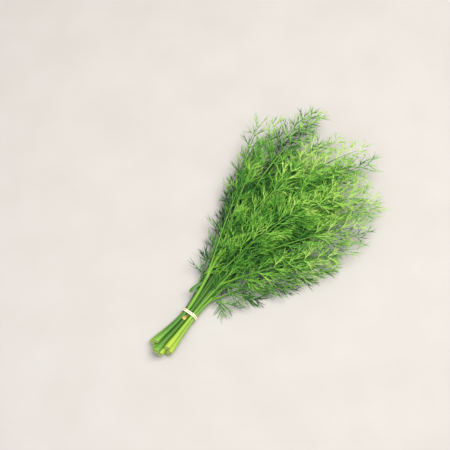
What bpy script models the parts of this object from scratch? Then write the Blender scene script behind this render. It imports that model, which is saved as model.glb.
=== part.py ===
"""A bunch of fresh dill lying on a surface, its stems held by a rubber band wound twice round them.

Metres, +Z up. The surface is z = 0 and the band rests on it at the origin. The cut ends of the
stems point to -X and the leaves fan out to +X. Each leafy stem is one body: its stem is extruded
ring by ring from the cut end, its leaves grow from the stem's side faces, their leaflets from the
leaves' side faces, and the last forked threads are side faces drawn out to a point.
"""

import math
import random
from dataclasses import dataclass

import bmesh
import bpy
from mathutils import Matrix, Vector

MM = 0.001
SIDEWAYS = Vector((0, 1, 0))
UPWARD = Vector((0, 0, 1))

# The rubber band: a flat strand that goes round twice and passes over itself under the bunch
BAND_THICK = 1.0 * MM
BAND_WIDE = 1.6 * MM
BAND_CLEARANCE = 0.3 * MM
BAND_LAY_GAP = 0.2 * MM
BAND_SIDE_SHIFT = 0.95 * MM
BAND_STEPS = 36
BAND_CROSSING = math.radians(48)
BAND_RAMP = math.radians(30)

# The bunch at the tie, where the stems lie in three rows like stacked pipes
STEMS_IN_ROW = (3, 4, 3)
STEM_PITCH = 4.3 * MM
ROW_PITCH = 3.75 * MM
TIE_RADIUS = 1.95 * MM
LOWEST_STEM_Z = TIE_RADIUS + BAND_CLEARANCE + 2 * BAND_THICK + BAND_LAY_GAP

# The cut ends, splayed and thicker than at the tie
CUT_X = -57 * MM
CUT_SPREAD = 8.0 * MM
CUT_SHIFT = 3.8 * MM
OUTER_CUT_SHORTER = 0.12
CUT_ROW_PITCH = 6.9 * MM
CUT_RADIUS = 3.3 * MM
CUT_WALL = 0.9 * MM
CUT_HOLLOW = 5 * MM
CUT_SLANT = 0.25
SPLAY_BEND = 15 * MM
STEM_SIDES = 6

# The stems beyond the tie, for the lowest, middle and top row
FAN_BEND = 30 * MM
ROW_FAN = (math.radians(12), math.radians(14), math.radians(10))
ROW_RISE = (0.0, math.radians(6.5), math.radians(13))
STEM_TURN = math.radians(-1.5)
STEM_END_X = 110 * MM
STEM_END_RADIUS = 1.15 * MM
NODE_SWELLING = 1.12
NODE_LENGTH = 3.0 * MM

# Where the side leaves leave the stem, in turn on its first side, its other side and its first again
OUTER_LEAF_X = (23 * MM, 62 * MM, 82 * MM)
INNER_LEAF_X = (54 * MM, 76 * MM, 92 * MM)
FIRST_TOP_LEAF_X = 45 * MM
ROOT_STRAY = 6 * MM

# The leaf tips: how far they reach, and how their bearings differ from their stem's, for each leaf in turn
FAN_MIDDLE = math.radians(-9.5)
FAN_HALF_ANGLE = math.radians(25.5)
REACH = 270 * MM
LONGEST_OFF_MIDDLE = math.radians(8)
EDGE_SHORTER = 0.13
LEAF_REACH = (0.80, 0.84, 0.93, 1.0)
OUTER_TIP_TURN = (math.radians(12), math.radians(5), math.radians(9), math.radians(2))
INNER_TIP_TURN = (math.radians(4.5), math.radians(4), math.radians(2.2), math.radians(0.8))
ROW_TIP_Z = ((2 * MM, 15 * MM), (16 * MM, 32 * MM), (31 * MM, 46 * MM))
ROW_ARCH = (2.0 * MM, 4.0 * MM, 7.0 * MM)
LEAF_LIFT = 7.0 * MM
LEAF_BEND = math.radians(-4)
OUTER_DIVERGENCE = math.radians(11)
INNER_DIVERGENCE = math.radians(14)
LEAF_ROLL = math.radians(14)

# A leaf: a bare stalk, then pairs of leaflets along its midrib
LEAF_RADIUS = 1.05 * MM
LEAF_TAPER = 0.55
CLEAR_GAP = 0.8 * MM
FIRST_STALK_SHARE = 0.12
STALK_SHARE = 0.17
TIP_STALK_SHARE = 0.13
TOP_STALK_SHARE = 0.07
LEAFLET_PAIRS = 4
LAST_PAIR_SHARE = 0.86
MIDRIB_NODE = 1.7 * MM

# A leaflet: a curved thread with one or two pairs of side threads
LEAFLET_LENGTH = 31 * MM
LEAFLET_ANGLE = math.radians(47)
LEAFLET_CURL = math.radians(22)
LEAFLET_TILT = math.radians(16)
SHORT_LEAFLET = 21 * MM
THREAD_RADIUS = 0.66 * MM
FORKS_AT = (0.36, 0.64)
SHORT_FORKS_AT = (0.50,)
FORK_NODE = 0.08
FORK_ANGLE = math.radians(33)
FORK_LENGTH = 0.62
LOWEST_THREAD_Z = 0.6 * MM

# Near the tie the leaflets on the bunch's +Y edge are pressed short, and one at -Y hangs back
NECK_END = 190 * MM
PRESSED_SHARE = 0.35
HANGING_LEAF = "leafy_stem_01 leaf 0"
HANGING_ANGLE = math.radians(126)
HANGING_LENGTH = 22 * MM

CELL = 1.35 * MM
STEM_GREEN = (0.19, 0.38, 0.045, 1.0)
RUBBER_CREAM = (0.82, 0.78, 0.55, 1.0)


@dataclass(frozen=True)
class Stem:
    """One stem of the bunch, from its cut end to where its topmost leaf begins."""

    name: str
    row: int
    place: int
    column: float
    tie: Vector
    cut: Vector
    cut_x: float
    heading: float
    rise: float

    def centre(self, x):
        """The centreline: splayed below the tie, level at it, then fanning out along a hyperbola."""
        if x < 0:
            point = self.tie.lerp(self.cut, eased(x, SPLAY_BEND) / eased(CUT_X, SPLAY_BEND))
        else:
            run = eased(x, FAN_BEND)
            point = self.tie + Vector((0, run * math.tan(self.heading), run * math.tan(self.rise)))
        return Vector((x, point.y, point.z))

    def radius(self, x):
        """Thick at the cut end, thin at the tie, and tapering from there to the stem's tip."""
        if x < 0:
            share = eased(x, SPLAY_BEND) / eased(CUT_X, SPLAY_BEND)
            return TIE_RADIUS + (CUT_RADIUS - TIE_RADIUS) * share
        return TIE_RADIUS + (STEM_END_RADIUS - TIE_RADIUS) * (x / STEM_END_X) ** 1.5

    def slope(self, x):
        """The heading in plan at x beyond the tie."""
        return math.atan(math.tan(self.heading) * x / math.hypot(x, FAN_BEND))


@dataclass(frozen=True)
class Leaf:
    """One dill leaf, as an arc in plan whose heading turns evenly from its root to its tip."""

    name: str
    root: Vector
    side: int
    start_heading: float
    end_heading: float
    length: float
    tip_z: float
    arch: float
    roll: float
    stalk: float

    def centre(self, share):
        """The midrib at a share of its length."""
        turn = self.end_heading - self.start_heading
        heading = self.start_heading + turn * share
        east = (math.sin(heading) - math.sin(self.start_heading)) / turn
        north = (math.cos(self.start_heading) - math.cos(heading)) / turn
        height = (self.tip_z - self.root.z) * share + 4 * self.arch * share * (1 - share)
        return self.root + Vector((self.length * east, self.length * north, height))

    def frame(self, share):
        """Unit vectors along the midrib, to its +Y side in the leaf's plane, and square to that plane."""
        step = 0.01
        along = (self.centre(share + step) - self.centre(share - step)).normalized()
        upward = Matrix.Rotation(self.roll, 3, along) @ UPWARD
        sideways = upward.cross(along).normalized()
        return along, sideways, along.cross(sideways)


class Space:
    """Small cells of space and the branches that pass through each, so that no two branches cross."""

    def __init__(self):
        self.owners = {}

    def cell(self, point):
        """The whole numbers of the cell that a point lies in."""
        return tuple(round(value / CELL) for value in point)

    def fill(self, points, owner):
        """Marks the cells of these points as the owner's."""
        for point in points:
            self.owners.setdefault(self.cell(point), set()).add(owner)

    def is_free(self, points, allowed):
        """True if only allowed owners pass within a cell of these points, and none is too low."""
        for point in points:
            if point.z < LOWEST_THREAD_Z:
                return False
            i, j, k = self.cell(point)
            for near in ((i + a, j + b, k + c) for a in (-1, 0, 1) for b in (-1, 0, 1) for c in (-1, 0, 1)):
                if not self.owners.get(near, allowed) <= allowed:
                    return False
        return True


class Leaflet:
    """The plan of a leaflet: a thread in its leaf's plane that bends forward and has side threads."""

    def __init__(self, leaf, share, side, length, tilt, angle=LEAFLET_ANGLE):
        along, sideways, upward = leaf.frame(share)
        self.root = leaf.centre(share)
        self.length = length
        self.angle = angle
        self.along = along
        self.outward = (side * math.cos(tilt) * sideways + math.sin(tilt) * upward).normalized()
        self.upward = side * along.cross(self.outward)
        self.forks = FORKS_AT if length > SHORT_LEAFLET else SHORT_FORKS_AT

    def direction(self, share, turned=0.0):
        """The thread's direction at a share of its length, turned away from the midrib by an angle."""
        angle = self.angle - LEAFLET_CURL * share + turned
        return math.cos(angle) * self.along + math.sin(angle) * self.outward

    def point(self, share):
        """The thread's centreline, as an arc that turns forward evenly."""
        last = self.angle - LEAFLET_CURL * share
        forward = (math.sin(self.angle) - math.sin(last)) / LEAFLET_CURL
        aside = (math.cos(last) - math.cos(self.angle)) / LEAFLET_CURL
        return self.root + self.length * (forward * self.along + aside * self.outward)

    def fork_tip(self, share, hand):
        """The point that a side thread reaches."""
        reach = FORK_LENGTH * self.length * (1 - share)
        return self.point(share + FORK_NODE / 2) + reach * self.direction(share, hand * FORK_ANGLE)

    def samples(self):
        """Points along the thread and its side threads, away from the midrib."""
        points = line(self.point(0.14), self.point(0.5)) + line(self.point(0.5), self.point(1.0))
        for share in self.forks:
            for hand in (-1, 1):
                points += line(self.point(share), self.fork_tip(share, hand))
        return points

    def grow(self, bm, face):
        """Grows the leaflet from a side face of the midrib."""
        radius = THREAD_RADIUS
        threads = []
        for share in self.forks:
            for end in (share, share + FORK_NODE):
                across = self.upward.cross(self.direction(end))
                face, sides = extend(bm, face, polygon(self.point(end), across, self.upward, radius, 4))
                radius *= 0.93
            for hand in (-1, 1):
                away = self.direction(share, hand * math.pi / 2)
                threads.append((facing(sides, away), self.fork_tip(share, hand)))
        draw_out(bm, face, self.point(1.0))
        for side_face, tip in threads:
            draw_out(bm, side_face, tip)


@dataclass(frozen=True)
class Stub:
    """A short piece on a stem that bears no leaflets, with its end as an offset from the stem's centre."""

    row: int
    column: float
    root_x: float
    faces: Vector
    end: Vector
    rings: tuple
    half_wide: float
    half_thick: float


STUBS = (
    # The torn sheath of a stripped leaf, which points back towards the tie
    Stub(2, 1.0, 38 * MM, SIDEWAYS, Vector((-20, 6, 1)) * MM, (0.6, 1.0), 2.0 * MM, 0.5 * MM),
    # The scar of a leaf cut off short, close behind the band
    Stub(2, 0.0, -7 * MM, Vector((0, 0.5, 0.87)), Vector((-1, 1.8, 3.1)) * MM, (1.0,), 0.9 * MM, 0.7 * MM),
)


def eased(x, bend):
    """How far a hyperbola has risen at x, when it starts level and ends at a slope of one."""
    return math.hypot(x, bend) - bend


def line(start, end):
    """Points about 1 mm apart from start to end."""
    count = max(2, round((end - start).length / MM))
    return [start.lerp(end, i / count) for i in range(count + 1)]


def polygon(centre, sideways, upward, radius, sides):
    """Corners anticlockwise about the growing direction, with flat faces square to sideways."""
    turn = math.pi / sides
    return [
        centre + radius * (math.cos(turn * (2 * i + 1)) * sideways + math.sin(turn * (2 * i + 1)) * upward)
        for i in range(sides)
    ]


def extend(bm, face, corners):
    """Extrudes a face onto the given corners, and returns the new end face and the side faces."""
    end = bmesh.ops.extrude_discrete_faces(bm, faces=[face])["faces"][0]
    verts = list(end.verts)
    count = len(verts)
    middle = sum((vert.co for vert in verts), Vector()) / count
    centre = sum(corners, Vector()) / count

    def mismatch(turn):
        return sum(
            (verts[i].co - middle - corners[(i + turn) % count] + centre).length_squared
            for i in range(count)
        )

    turn = min(range(count), key=mismatch)
    for i, vert in enumerate(verts):
        vert.co = corners[(i + turn) % count]
    return end, [side for edge in end.edges for side in edge.link_faces if side is not end]


def facing(faces, direction):
    """The face that lies furthest in a direction."""
    return max(faces, key=lambda face: face.calc_center_median().dot(direction))


def draw_out(bm, face, tip):
    """Turns a face into a thread that ends at a point."""
    bmesh.ops.poke(bm, faces=[face])["verts"][0].co = tip


def make_stems(chance):
    """The stems, row by row from the lowest, each with its place at the tie and at the cut."""
    stems = []
    for row, count in enumerate(STEMS_IN_ROW):
        for place in range(count):
            offset = place - (count - 1) / 2
            column = offset / ((count - 1) / 2)
            stems.append(Stem(
                name=f"leafy_stem_{len(stems) + 1:02d}",
                row=row,
                place=place,
                column=column,
                tie=Vector((0, offset * STEM_PITCH, LOWEST_STEM_Z + row * ROW_PITCH)),
                cut=Vector((CUT_X, offset * CUT_SPREAD + CUT_SHIFT, CUT_RADIUS + row * CUT_ROW_PITCH)),
                cut_x=CUT_X * (chance.uniform(0.93, 1.0) - OUTER_CUT_SHORTER * column ** 2),
                heading=ROW_FAN[row] * column + STEM_TURN,
                rise=ROW_RISE[row],
            ))
    return stems


def make_leaf(stem, number, root_x, side, strayed, chance):
    """One leaf from the stem's side, or from its tip where side is 0, a little off its usual bearing.

    Between two stems of a row, the leaves of the one at +Y arch over the leaves of the other.
    """
    root = stem.centre(root_x)
    hand = side if side else chance.choice((-1, 1))
    turn = OUTER_TIP_TURN if abs(stem.column) == 1 else INNER_TIP_TURN
    off_middle = 1.1 * (math.atan2(root.y, root_x) - STEM_TURN) + hand * turn[number]
    off_middle += chance.uniform(-1, 1) * (math.radians(1.5) + strayed)
    off_middle = max(-FAN_HALF_ANGLE, min(FAN_HALF_ANGLE, off_middle))
    bearing = FAN_MIDDLE + off_middle
    edge = 1 - EDGE_SHORTER * ((off_middle - LONGEST_OFF_MIDDLE) / FAN_HALF_ANGLE) ** 2
    radius = REACH * LEAF_REACH[number] * edge * chance.uniform(0.96, 1.04)
    chord = Vector((radius * math.cos(bearing) - root.x, radius * math.sin(bearing) - root.y))
    straight = math.atan2(chord.y, chord.x)
    if side:
        divergence = OUTER_DIVERGENCE if side == stem.column else INNER_DIVERGENCE
        bend = side * max(LEAF_BEND, divergence + side * (stem.slope(root_x) - straight))
    else:
        bend = stem.slope(root_x) - straight + 0.01
    low, high = ROW_TIP_Z[stem.row]
    touches_down = stem.row == 0 and number == 0 and stem.column != 0
    is_lifted = side < 0 and stem.column > -1
    return Leaf(
        name=f"{stem.name} leaf {number}",
        root=root,
        side=side,
        start_heading=straight + bend,
        end_heading=straight - bend,
        length=chord.length * bend / math.sin(bend),
        tip_z=0.0 if touches_down else chance.uniform(low, high),
        arch=ROW_ARCH[stem.row] * chance.uniform(0.8, 1.2) + (LEAF_LIFT if is_lifted else 0.0),
        roll=-side * LEAF_ROLL + math.radians(chance.uniform(-8, 8)),
        stalk=stalk_share(stem, number),
    )


def stalk_share(stem, number):
    """The bare share of a leaf, which is least on the top row's leaves because they cover the neck."""
    if number == 3:
        return TIP_STALK_SHARE
    if stem.row == 2:
        return TOP_STALK_SHARE
    return FIRST_STALK_SHARE if number == 0 and abs(stem.column) == 1 else STALK_SHARE


def fitting_leaf(stem, number, root_x, side, space, chance):
    """The first leaf that crosses no other, straying further from its usual place with each try."""
    for attempt in range(300):
        tried_x = root_x + chance.uniform(-1, 1) * min(ROOT_STRAY, 0.1 * MM * attempt) * (side != 0)
        leaf = make_leaf(stem, number, tried_x, side, math.radians(0.05) * attempt, chance)
        count = round(leaf.length / MM)
        points = [leaf.centre(i / count) for i in range(8, count - 8)]
        if space.is_free(points[:22], {stem.name}) and space.is_free(points[22:], set()):
            return leaf
    raise ValueError(f"{stem.name} has no room for leaf {number}")


def make_leaves(stem, space, chance):
    """The stem's leaves: on its first side, its other side, its first side again, and at its tip."""
    is_outer = abs(stem.column) == 1
    first = int(stem.column) if is_outer else (-1) ** stem.place
    roots = OUTER_LEAF_X if is_outer else INNER_LEAF_X
    if stem.row == 2:
        roots = tuple(max(FIRST_TOP_LEAF_X, x) for x in roots)
    leaves = []
    for number, root_x in enumerate(roots + (STEM_END_X,)):
        side = (first, -first, first, 0)[number]
        leaf = fitting_leaf(stem, number, root_x, side, space, chance)
        fill_leaf(leaf, space)
        leaves.append(leaf)
    return leaves


def fill_stem(stem, space):
    """Marks where the stem runs."""
    x = stem.cut_x
    while x < STEM_END_X:
        centre = stem.centre(x)
        space.fill([centre] + polygon(centre, SIDEWAYS, UPWARD, stem.radius(x), 8), stem.name)
        x += MM
    for stub in stubs_of(stem):
        root = stem.centre(stub.root_x)
        space.fill(line(root, root + stub.end), stem.name)


def fill_leaf(leaf, space):
    """Marks where the leaf's midrib runs."""
    count = round(leaf.length / MM)
    for i in range(count + 1):
        along, sideways, upward = leaf.frame(i / count)
        centre = leaf.centre(i / count)
        space.fill([centre] + polygon(centre, sideways, upward, 0.6 * MM, 4), leaf.name)


def stubs_of(stem):
    """The stubs that this stem bears."""
    return [stub for stub in STUBS if (stub.row, stub.column) == (stem.row, stem.column)]


def leaflet_length(place, scale, root, side):
    """Full size at the blade's base and short at its tip, with place from 0 to 1, but pressed short
    near the tie on the bunch's +Y edge."""
    length = LEAFLET_LENGTH * scale * (1 - 0.6 * place ** 1.4)
    if side > 0 and root.y > 0:
        length *= min(1.0, max(PRESSED_SHARE, root.x / NECK_END))
    return length


def fitting_leaflet(leaf, share, side, length, angle, space, chance):
    """The first of several leaflets, each tilted or shortened a little more, that crosses nothing."""
    nominal = chance.uniform(-1, 1) * LEAFLET_TILT
    for shorter in (1.0, 0.82, 0.64, 0.48):
        for tilt in (0, 13, -13, 26, -26, 40, -40, 55, -55):
            leaflet = Leaflet(leaf, share, side, length * shorter, nominal + math.radians(tilt), angle)
            if space.is_free(leaflet.samples(), {leaf.name}):
                return leaflet
    return None


def clear_share(stem, leaf):
    """The share of a side leaf's length at which it has come clear of its stem's side."""
    share = 0.0
    gap = 0.0
    while gap < CLEAR_GAP:
        share += MM / leaf.length
        point = leaf.centre(share)
        gap = (point - stem.centre(point.x)).length - stem.radius(point.x) - LEAF_RADIUS
    return share


def grow_leaf(bm, face, stem, leaf, sides, radius, space, chance):
    """Grows a leaf's midrib from a face, with a short node for each pair of leaflets, and the leaflets."""
    half_node = MIDRIB_NODE / 2 / leaf.length
    scale = 0.8 + 0.2 * leaf.length / (150 * MM)
    first = leaf.stalk
    rings = []
    if leaf.side:
        clear = clear_share(stem, leaf)
        first = max(first, clear + 4 * MM / leaf.length)
        rings.append((clear, None))
    for i in range(LEAFLET_PAIRS):
        place = i / (LEAFLET_PAIRS - 1)
        share = first + (LAST_PAIR_SHARE - first) * place
        rings += [(share - half_node, None), (share + half_node, place)]
    nodes = []
    for share, place in rings:
        along, sideways, upward = leaf.frame(share)
        ring = polygon(leaf.centre(share), sideways, upward, radius * (1 - LEAF_TAPER * share), sides)
        face, side_faces = extend(bm, face, ring)
        if place is not None:
            for side in (-1, 1):
                nodes.append((share - half_node, place, side, facing(side_faces, side * sideways)))
    draw_out(bm, face, leaf.centre(1.0))
    for share, place, side, side_face in nodes:
        length = leaflet_length(place, scale, leaf.centre(share), side)
        angle = LEAFLET_ANGLE
        if leaf.name == HANGING_LEAF and place == 0 and side < 0:
            length = HANGING_LENGTH
            angle = HANGING_ANGLE
        leaflet = fitting_leaflet(leaf, share, side, length, angle, space, chance)
        if leaflet is not None:
            space.fill(leaflet.samples(), f"{leaf.name} leaflet {place} {side}")
            leaflet.grow(bm, side_face)


def grow_stub(bm, face, stem, stub):
    """Grows a stub from a side face of the stem, as a strip with a blunt end."""
    root = stem.centre(stub.root_x)
    along = stub.end.normalized()
    across = UPWARD.cross(along).normalized()
    square = along.cross(across)
    for share in stub.rings:
        wide = stub.half_wide * across
        ring = polygon(root + share * stub.end, wide, stub.half_thick * square, math.sqrt(2), 4)
        face, side_faces = extend(bm, face, ring)


def grow_stem(stem, leaves, space, chance):
    """One leafy stem as a mesh: its hollow cut end, the stem with its nodes, and its leaves."""
    bm = bmesh.new()
    slant = chance.uniform(-CUT_SLANT, CUT_SLANT)
    corners = polygon(stem.centre(stem.cut_x), SIDEWAYS, UPWARD, stem.radius(stem.cut_x), STEM_SIDES)
    for corner in corners:
        corner.x += slant * (corner.y - stem.cut.y) + CUT_SLANT * (corner.z - stem.cut.z)
    start = [bm.verts.new(corner) for corner in corners]
    face = bm.faces.new(start)
    sprouts = [(leaf.root.x, leaf.side * SIDEWAYS, leaf) for leaf in leaves[:-1]]
    sprouts += [(stub.root_x, stub.faces, stub) for stub in stubs_of(stem)]
    rings = [(x, None, None) for x in (CUT_X * 0.6, CUT_X * 0.3, 0.0, 14 * MM)]
    for x, direction, sprout in sprouts:
        rings += [(x - NODE_LENGTH / 2, None, None), (x + NODE_LENGTH / 2, direction, sprout)]
    rings.sort(key=lambda ring: ring[0])
    grown = []
    for x, direction, sprout in rings:
        swelling = NODE_SWELLING if sprout else 1.0
        ring = polygon(stem.centre(x), SIDEWAYS, UPWARD, swelling * stem.radius(x), STEM_SIDES)
        face, side_faces = extend(bm, face, ring)
        if sprout:
            grown.append((facing(side_faces, direction), sprout))
    ring = polygon(stem.centre(STEM_END_X), SIDEWAYS, UPWARD, STEM_END_RADIUS, STEM_SIDES)
    face, side_faces = extend(bm, face, ring)
    grow_leaf(bm, face, stem, leaves[-1], STEM_SIDES, STEM_END_RADIUS, space, chance)
    for side_face, sprout in grown:
        if isinstance(sprout, Leaf):
            grow_leaf(bm, side_face, stem, sprout, 4, LEAF_RADIUS, space, chance)
        else:
            grow_stub(bm, side_face, stem, sprout)
    hollow_cut_end(bm, bm.faces.new(start[::-1]), stem)
    return bm


def hollow_cut_end(bm, cap, stem):
    """Sinks the middle of the cut face along the stem, because the stem is a tube there."""
    bm.normal_update()
    bmesh.ops.inset_region(bm, faces=[cap], thickness=CUT_WALL)
    inward = (stem.centre(CUT_X * 0.6) - stem.centre(stem.cut_x)).normalized()
    extend(bm, cap, [vert.co + CUT_HOLLOW * inward for vert in cap.verts])


def band_outline(offset, share):
    """A point and its outward angle on the outline at an offset round the stems, in the tie's plane.

    The outline is the hull of the six outer stems: straight runs, and arcs about their centres. It
    starts at the middle of the top and goes round by +Y, and share is the part of its length.
    """
    half_row = STEM_PITCH
    half_middle = 1.5 * STEM_PITCH
    low, middle, high = (LOWEST_STEM_Z + row * ROW_PITCH for row in range(3))
    centres = [
        (half_row, high),
        (half_middle, middle),
        (half_row, low),
        (-half_row, low),
        (-half_middle, middle),
        (-half_row, high),
    ]
    lean = math.atan2(half_middle - half_row, ROW_PITCH)
    right = math.pi / 2
    normals = [right, lean, -lean, -right, lean - 2 * right, -lean - 2 * right, -3 * right]
    lengths = []
    for i, (y, z) in enumerate(centres):
        next_y, next_z = centres[(i + 1) % 6]
        lengths += [(normals[i] - normals[i + 1]) * offset, math.hypot(next_y - y, next_z - z)]
    distance = share * sum(lengths) - half_row
    if distance < 0:
        return Vector((0, half_row + distance, high + offset)), right
    piece = 0
    while distance > lengths[piece]:
        distance -= lengths[piece]
        piece += 1
    corner = piece // 2
    normal = normals[corner + 1]
    if piece % 2 == 0:
        normal = normals[corner] - distance / offset
        distance = 0.0
    y, z = centres[corner]
    out = Vector((0, math.cos(normal), math.sin(normal)))
    forward = Vector((0, math.sin(normal), -math.cos(normal)))
    return Vector((0, y, z)) + offset * out + distance * forward, normal


def make_band():
    """The rubber band: two turns side by side, which change places where one passes under the other."""
    bm = bmesh.new()
    half_wide = BAND_WIDE / 2
    half_thick = BAND_THICK / 2
    flat = half_wide - 0.3 * BAND_THICK
    section = [
        (half_wide, 0.0), (flat, half_thick), (-flat, half_thick),
        (-half_wide, 0.0), (-flat, -half_thick), (flat, -half_thick),
    ]
    loops = []
    for step in range(2 * BAND_STEPS):
        turned = 2 * math.pi * step / BAND_STEPS
        shift = BAND_SIDE_SHIFT * math.tanh(3 * math.cos(turned / 2)) / math.tanh(3)
        ramp = (BAND_CROSSING + BAND_RAMP - abs(turned - 3 * math.pi)) / BAND_RAMP
        ramp = min(1.0, max(0.0, ramp))
        hop = (BAND_THICK + BAND_LAY_GAP) * ramp * ramp * (3 - 2 * ramp)
        offset = TIE_RADIUS + BAND_CLEARANCE + half_thick
        point, normal = band_outline(offset, step / BAND_STEPS % 1.0)
        out = Vector((0, math.cos(normal), math.sin(normal)))
        centre = point + Vector((shift, 0, 0)) + hop * out
        loops.append([bm.verts.new(centre + Vector((wide, 0, 0)) + thick * out) for wide, thick in section])
    for loop, following in zip(loops, loops[1:] + loops[:1]):
        for i in range(len(section)):
            j = (i + 1) % len(section)
            bm.faces.new((loop[i], following[i], following[j], loop[j]))
    bmesh.ops.recalc_face_normals(bm, faces=bm.faces)
    return bm


def make_material(name, colour, roughness):
    """A plain Principled material."""
    material = bpy.data.materials.new(name)
    material.use_nodes = True
    shader = material.node_tree.nodes["Principled BSDF"]
    shader.inputs["Base Color"].default_value = colour
    shader.inputs["Roughness"].default_value = roughness
    shader.inputs["Metallic"].default_value = 0.0
    material.diffuse_color = colour
    return material


def add_object(name, bm, material):
    """Turns a mesh into a named object of the scene."""
    bmesh.ops.triangulate(bm, faces=bm.faces)
    mesh = bpy.data.meshes.new(name)
    bm.to_mesh(mesh)
    bm.free()
    mesh.materials.append(material)
    mesh.shade_smooth()
    mesh.set_sharp_from_angle(angle=math.radians(50))
    bpy.context.scene.collection.objects.link(bpy.data.objects.new(name, mesh))


def build():
    """Clears the scene and builds every piece of the bunch."""
    for obj in list(bpy.data.objects):
        bpy.data.objects.remove(obj)
    chance = random.Random(52)
    space = Space()
    stems = make_stems(chance)
    for stem in stems:
        fill_stem(stem, space)
    foliage = [(stem, make_leaves(stem, space, chance)) for stem in stems]
    green = make_material("dill_green", STEM_GREEN, 0.45)
    for stem, leaves in foliage:
        add_object(stem.name, grow_stem(stem, leaves, space, chance), green)
    add_object("rubber_band", make_band(), make_material("cream_rubber", RUBBER_CREAM, 0.55))


build()
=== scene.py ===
"""The looks of a bunch of fresh dill, its stems held by a rubber band, lying on a pale floor.

Metres, +Z up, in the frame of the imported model: the floor is z = 0, the band is at the origin, the
cut ends point to -X and the leaves fan out to +X. The stems and the midribs of the leaves run where
the model's do, so the skeleton repeats its sizes and its seeded draws. The leaflets have sizes of
their own. The fine forms stand on the skeleton: ribbed hollow stems, clasping leaf stalks, and leaves
that are divided three times into threads.
"""

import logging
import math
import random
from dataclasses import dataclass
from enum import Enum

import bpy
import numpy as np
from mathutils import Matrix, Vector

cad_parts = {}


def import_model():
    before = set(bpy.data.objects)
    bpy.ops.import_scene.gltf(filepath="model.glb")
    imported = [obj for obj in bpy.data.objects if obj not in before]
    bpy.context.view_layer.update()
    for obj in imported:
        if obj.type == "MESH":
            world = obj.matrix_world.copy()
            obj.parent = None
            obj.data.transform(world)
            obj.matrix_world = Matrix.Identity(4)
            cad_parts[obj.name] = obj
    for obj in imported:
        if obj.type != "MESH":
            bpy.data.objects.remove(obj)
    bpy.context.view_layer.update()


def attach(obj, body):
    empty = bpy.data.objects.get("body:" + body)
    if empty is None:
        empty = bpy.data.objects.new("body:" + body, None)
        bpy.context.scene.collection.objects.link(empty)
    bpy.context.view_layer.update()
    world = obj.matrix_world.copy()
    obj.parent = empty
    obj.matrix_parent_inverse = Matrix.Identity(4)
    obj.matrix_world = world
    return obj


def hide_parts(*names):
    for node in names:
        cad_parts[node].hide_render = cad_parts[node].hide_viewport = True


MM = 0.001
SIDEWAYS = Vector((0, 1, 0))
UPWARD = Vector((0, 0, 1))

# The rubber band
BAND_THICK = 1.0 * MM
BAND_WIDE = 1.6 * MM
BAND_CLEARANCE = 0.3 * MM
BAND_LAY_GAP = 0.2 * MM
BAND_SIDE_SHIFT = 0.95 * MM
BAND_CROSSING = math.radians(48)
BAND_RAMP = math.radians(30)

# The bunch at the tie, where the stems lie in three rows like stacked pipes
STEMS_IN_ROW = (3, 4, 3)
STEM_PITCH = 4.3 * MM
ROW_PITCH = 3.75 * MM
TIE_RADIUS = 1.95 * MM
LOWEST_STEM_Z = TIE_RADIUS + BAND_CLEARANCE + 2 * BAND_THICK + BAND_LAY_GAP

# The cut ends, splayed and thicker than at the tie
CUT_X = -57 * MM
CUT_SPREAD = 8.0 * MM
CUT_SHIFT = 3.8 * MM
OUTER_CUT_SHORTER = 0.12
CUT_ROW_PITCH = 6.9 * MM
CUT_RADIUS = 3.3 * MM
SPLAY_BEND = 15 * MM

# The stems beyond the tie, for the lowest, middle and top row
FAN_BEND = 30 * MM
ROW_FAN = (math.radians(12), math.radians(14), math.radians(10))
ROW_RISE = (0.0, math.radians(6.5), math.radians(13))
STEM_TURN = math.radians(-1.5)
STEM_END_X = 110 * MM
STEM_END_RADIUS = 1.15 * MM

# Where the side leaves leave the stem, in turn on its first side, its other side and its first again
OUTER_LEAF_X = (23 * MM, 62 * MM, 82 * MM)
INNER_LEAF_X = (54 * MM, 76 * MM, 92 * MM)
FIRST_TOP_LEAF_X = 45 * MM
ROOT_STRAY = 6 * MM

# The leaf tips: how far they reach, and how their bearings differ from their stem's, for each leaf in turn
FAN_MIDDLE = math.radians(-9.5)
FAN_HALF_ANGLE = math.radians(25.5)
REACH = 270 * MM
LONGEST_OFF_MIDDLE = math.radians(8)
EDGE_SHORTER = 0.13
LEAF_REACH = (0.80, 0.84, 0.93, 1.0)
OUTER_TIP_TURN = (math.radians(12), math.radians(5), math.radians(9), math.radians(2))
INNER_TIP_TURN = (math.radians(4.5), math.radians(4), math.radians(2.2), math.radians(0.8))
ROW_TIP_Z = ((2 * MM, 15 * MM), (16 * MM, 32 * MM), (31 * MM, 46 * MM))
ROW_ARCH = (2.0 * MM, 4.0 * MM, 7.0 * MM)
LEAF_LIFT = 7.0 * MM
LEAF_BEND = math.radians(-4)
OUTER_DIVERGENCE = math.radians(11)
INNER_DIVERGENCE = math.radians(14)
LEAF_ROLL = math.radians(14)
FIRST_STALK_SHARE = 0.12
STALK_SHARE = 0.17
TIP_STALK_SHARE = 0.13
TOP_STALK_SHARE = 0.07
LOWEST_THREAD_Z = 0.6 * MM
CELL = 1.35 * MM

# The leaflets' own sizes. Up to NECK_END those on the bunch's +Y edge are pressed short, two leaves
# bear them nearly from the root, those near EDGE_Y are shortened, and one at -Y hangs back.
NECK_END = 235 * MM
PRESSED_SHARE = 0.35
EARLY_LEAVES = ("leafy_stem_04 leaf 0", "leafy_stem_08 leaf 0")
EARLY_SHARE = 0.03
EDGE_Y = -135 * MM
EDGE_FADE = 60 * MM
EDGE_LEAST = 0.4
HANGING_LEAF = "leafy_stem_01 leaf 0"
HANGING_TURN = math.radians(80)
HANGING_LENGTH = 22 * MM

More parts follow.
